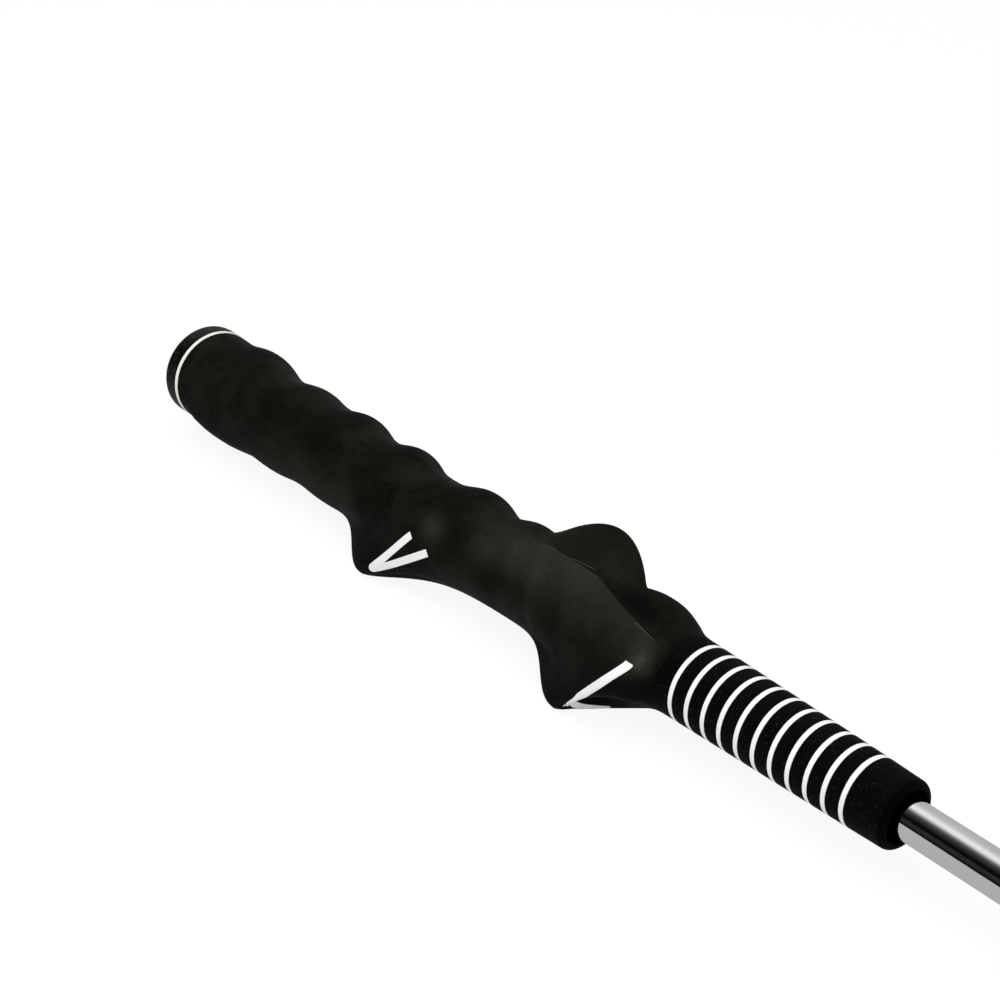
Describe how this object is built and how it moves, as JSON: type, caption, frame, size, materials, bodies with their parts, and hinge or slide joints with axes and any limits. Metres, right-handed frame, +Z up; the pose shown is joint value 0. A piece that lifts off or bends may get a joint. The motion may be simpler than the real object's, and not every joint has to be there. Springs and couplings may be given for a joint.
{
  "type": "golf swing trainer stick",
  "caption": "Weighted golf swing trainer: a moulded black rubber training grip with finger grooves, thumb wedges and a trigger fin on a thin chrome shaft.",
  "frame": {"origin": "centre of the vent hole in the butt cap's rear face, on the shaft's axis", "axes": "+X along the shaft from the butt to the tip, +Z up as the stick lies on a flat surface on its first thumb wedge, palm swell and weight head, +Y away from the side with the V marks"},
  "size_m": [0.66, 0.0345, 0.034],
  "materials": {
    "grip_rubber": "matt moulded rubber",
    "cap_rubber": "smooth moulded rubber",
    "line_white": "white fill, level with the rubber",
    "line_cream": "off-white fill, level with the rubber",
    "shaft_chrome": "bright chrome plate on steel tube",
    "core_plastic": "moulded",
    "tape": "double-sided crepe tape",
    "ferrule_plastic": "turned and polished",
    "weight_steel": "fine turned, satin",
    "pin_steel": "plain spring steel",
    "tip_rubber": "matt moulded rubber"
  },
  "bodies": {
    "root": {"grip_sleeve": "grip_rubber", "butt_cap": "cap_rubber", "butt_ring_line": "line_cream", "neck_ring_lines": "line_white", "first_v_mark": "line_white", "second_v_mark": "line_white", "shaft": "shaft_chrome", "build_up_core": "core_plastic", "grip_tape": "tape", "ferrule": "ferrule_plastic", "weight_head": "weight_steel", "weight_pin": "pin_steel", "tip_cap": "tip_rubber"}
  },
  "joints": []
}
